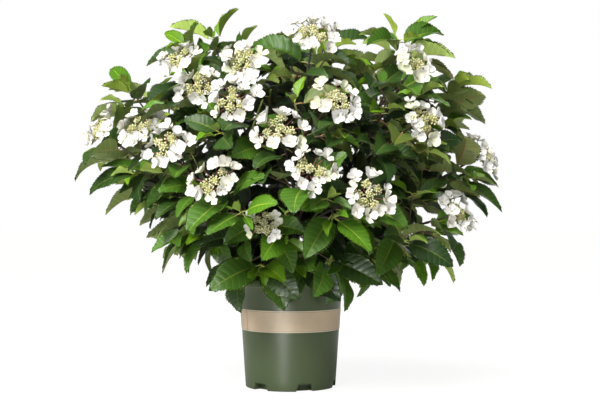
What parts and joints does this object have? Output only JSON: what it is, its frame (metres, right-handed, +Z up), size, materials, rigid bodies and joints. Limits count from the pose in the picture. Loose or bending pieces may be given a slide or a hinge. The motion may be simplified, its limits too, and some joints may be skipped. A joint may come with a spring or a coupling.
{
  "type": "lacecap hydrangea shrub in a nursery pot",
  "caption": "Rounded lacecap hydrangea shrub with opposite leaves and flat white flower heads, standing in a tapered round nursery pot with a blank band.",
  "frame": {"origin": "middle of the pot's flat underside, on the surface that the pot stands on", "axes": "+Z up, -Y the plant's front, +X to the right seen from the front, along the crown's widest way"},
  "size_m": [0.9195, 0.8604, 0.8117],
  "materials": {
    "pot": "smooth dark green moulded plastic with a soft sheen",
    "label_band": "satin beige printed film with a thin darker border",
    "potting_mix": "moist dark bark and peat crumbs",
    "bark": "dark purple brown stems with pale pores and thin ridges",
    "foliage": "leathery green leaves with sunken veins and a soft gloss",
    "blossom": "matt white sepals round small greenish cream buds"
  },
  "bodies": {
    "root": {"pot": "pot", "label_band": "label_band", "soil": "potting_mix", "stool": "bark", "cane_left_wing": "bark", "cane_left_shoulder": "bark", "cane_left_front": "bark", "cane_front_left": "bark", "cane_front_centre": "bark", "cane_front_upper": "bark", "cane_crown_top": "bark", "cane_right_shoulder": "bark", "cane_right_wing": "bark", "cane_right_low": "bark", "cane_back_right": "bark", "cane_back_left": "bark", "cane_back_upper": "bark", "cane_back_top": "bark", "mass_left_wing": "foliage", "mass_left_shoulder": "foliage", "mass_left_front": "foliage", "mass_front_left": "foliage", "mass_front_centre": "foliage", "mass_front_upper": "foliage", "mass_crown_top": "foliage", "mass_right_shoulder": "foliage", "mass_right_wing": "foliage", "mass_right_low": "foliage", "mass_back_right": "foliage", "mass_back_left": "foliage", "mass_back_upper": "foliage", "mass_back_top": "foliage", "mass_left_skirt": "foliage", "mass_lower_left": "foliage", "mass_front_low_left": "foliage", "mass_rim_left": "foliage", "mass_rim_right": "foliage", "mass_front_right": "foliage", "mass_front_upper_right": "foliage", "mass_crown_left": "foliage", "mass_top_left": "foliage", "mass_right_upper": "foliage", "mass_lower_right": "foliage", "mass_back_left_upper": "foliage", "mass_back_right_upper": "foliage", "mass_top_right": "foliage", "mass_back_left_skirt": "foliage", "mass_back_right_skirt": "foliage", "mass_back_middle": "foliage", "mass_back_rim": "foliage", "mass_front_middle": "foliage"}
  },
  "joints": []
}
